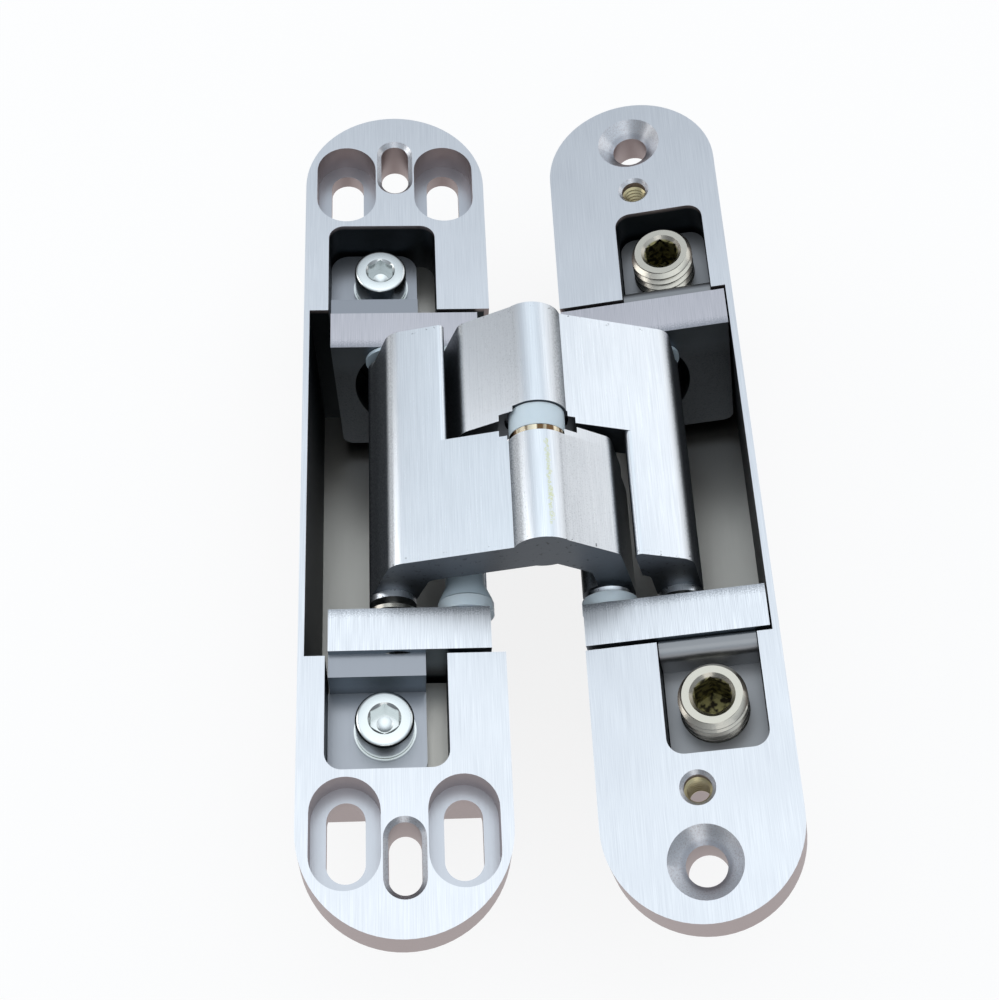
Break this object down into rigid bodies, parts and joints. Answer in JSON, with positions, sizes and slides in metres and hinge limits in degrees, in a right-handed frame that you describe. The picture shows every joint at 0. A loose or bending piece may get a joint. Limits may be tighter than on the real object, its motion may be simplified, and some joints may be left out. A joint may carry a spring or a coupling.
{
  "type": "concealed door hinge",
  "caption": "Concealed door hinge with two sunk bodies, crossing arms on a centre knuckle and side and depth adjusters.",
  "frame": {"origin": "middle of the frame body's face, level with the surface it is let into", "axes": "+X from the frame body towards the door body, +Y along the door edge, +Z out of the frame body's face"},
  "size_m": [0.0766, 0.142, 0.0511],
  "materials": {
    "plated_zinc": "cast zinc, brushed and satin chrome plated",
    "plated_screw": "zinc plated steel, bright",
    "plain_steel": "bent steel plate, scratched",
    "turned_steel": "turned steel",
    "nylon": "natural nylon",
    "grey_sleeve": "blue-grey acetal, satin",
    "brass": "turned brass"
  },
  "bodies": {
    "frame_housing": {"frame_housing": "plated_zinc", "frame_near_clamp_screw": "plated_screw", "frame_far_clamp_screw": "plated_screw", "frame_near_washer": "plated_screw", "frame_far_washer": "plated_screw"},
    "frame_carriage": {"frame_near_bracket": "plated_zinc", "frame_far_bracket": "plated_zinc", "frame_pivot_pin": "turned_steel", "frame_near_collar": "nylon", "frame_far_collar": "nylon", "frame_pin_sleeve": "grey_sleeve"},
    "door_arm": {"door_arm": "plated_zinc", "door_slide_pin": "turned_steel", "door_near_slide_washer": "turned_steel", "door_far_slide_washer": "turned_steel", "door_near_slider": "nylon", "door_far_slider": "nylon", "knuckle_pin": "turned_steel", "knuckle_bush": "nylon", "knuckle_ring": "brass"},
    "frame_arm": {"frame_arm": "plated_zinc", "frame_slide_pin": "turned_steel", "frame_near_slide_washer": "turned_steel", "frame_far_slide_washer": "turned_steel", "frame_near_slider": "nylon", "frame_far_slider": "nylon"},
    "door_carriage": {"door_near_bracket": "plated_zinc", "door_far_bracket": "plated_zinc", "door_near_foot": "plain_steel", "door_far_foot": "plain_steel", "door_pivot_pin": "turned_steel", "door_near_collar": "nylon", "door_far_collar": "nylon", "door_pin_sleeve": "grey_sleeve"},
    "door_housing": {"door_housing": "plated_zinc"},
    "near_jack": {"door_near_jack_screw": "turned_steel"},
    "far_jack": {"door_far_jack_screw": "turned_steel"}
  },
  "joints": [
    {"name": "side_adjust", "type": "slide", "parent": "frame_housing", "child": "frame_carriage", "axis": [1, 0, 0], "range_m": [0, 0.0018]},
    {"name": "fold", "type": "hinge", "parent": "frame_carriage", "child": "door_arm", "pos_m": [0.0096, 0, -0.0036], "axis": [0, -1, 0], "range_deg": [-8.64, 106.57]},
    {"name": "knuckle_turn", "type": "hinge", "parent": "door_arm", "child": "frame_arm", "pos_m": [0.0204, 0, 0.0115], "axis": [0, -1, 0], "range_deg": [-33.9, 2.76]},
    {"name": "door_turn", "type": "hinge", "parent": "frame_arm", "child": "door_carriage", "pos_m": [0.0312, 0, -0.0036], "axis": [0, -1, 0], "range_deg": [-7.62, 93.83]},
    {"name": "depth_adjust", "type": "slide", "parent": "door_carriage", "child": "door_housing", "axis": [-0.2334, 0, 0.9724], "range_m": [-0.001, 0.001]},
    {"name": "near_jack_turn", "type": "hinge", "parent": "door_housing", "child": "near_jack", "pos_m": [0.04491, -0.039, -0.0021], "axis": [-0.2334, 0, 0.9724], "range_deg": [-240.1, 240.1]},
    {"name": "far_jack_turn", "type": "hinge", "parent": "door_housing", "child": "far_jack", "pos_m": [0.04491, 0.039, -0.0021], "axis": [-0.2334, 0, 0.9724], "range_deg": [-240.1, 240.1]}
  ],
  "couplings": [
    {"joint": "knuckle_turn", "follows": "fold", "ratio": -0.31804},
    {"joint": "door_turn", "follows": "fold", "ratio": 0.88041},
    {"joint": "near_jack_turn", "follows": "depth_adjust", "rad_per_m": 4188.8},
    {"joint": "far_jack_turn", "follows": "depth_adjust", "rad_per_m": 4188.8}
  ]
}
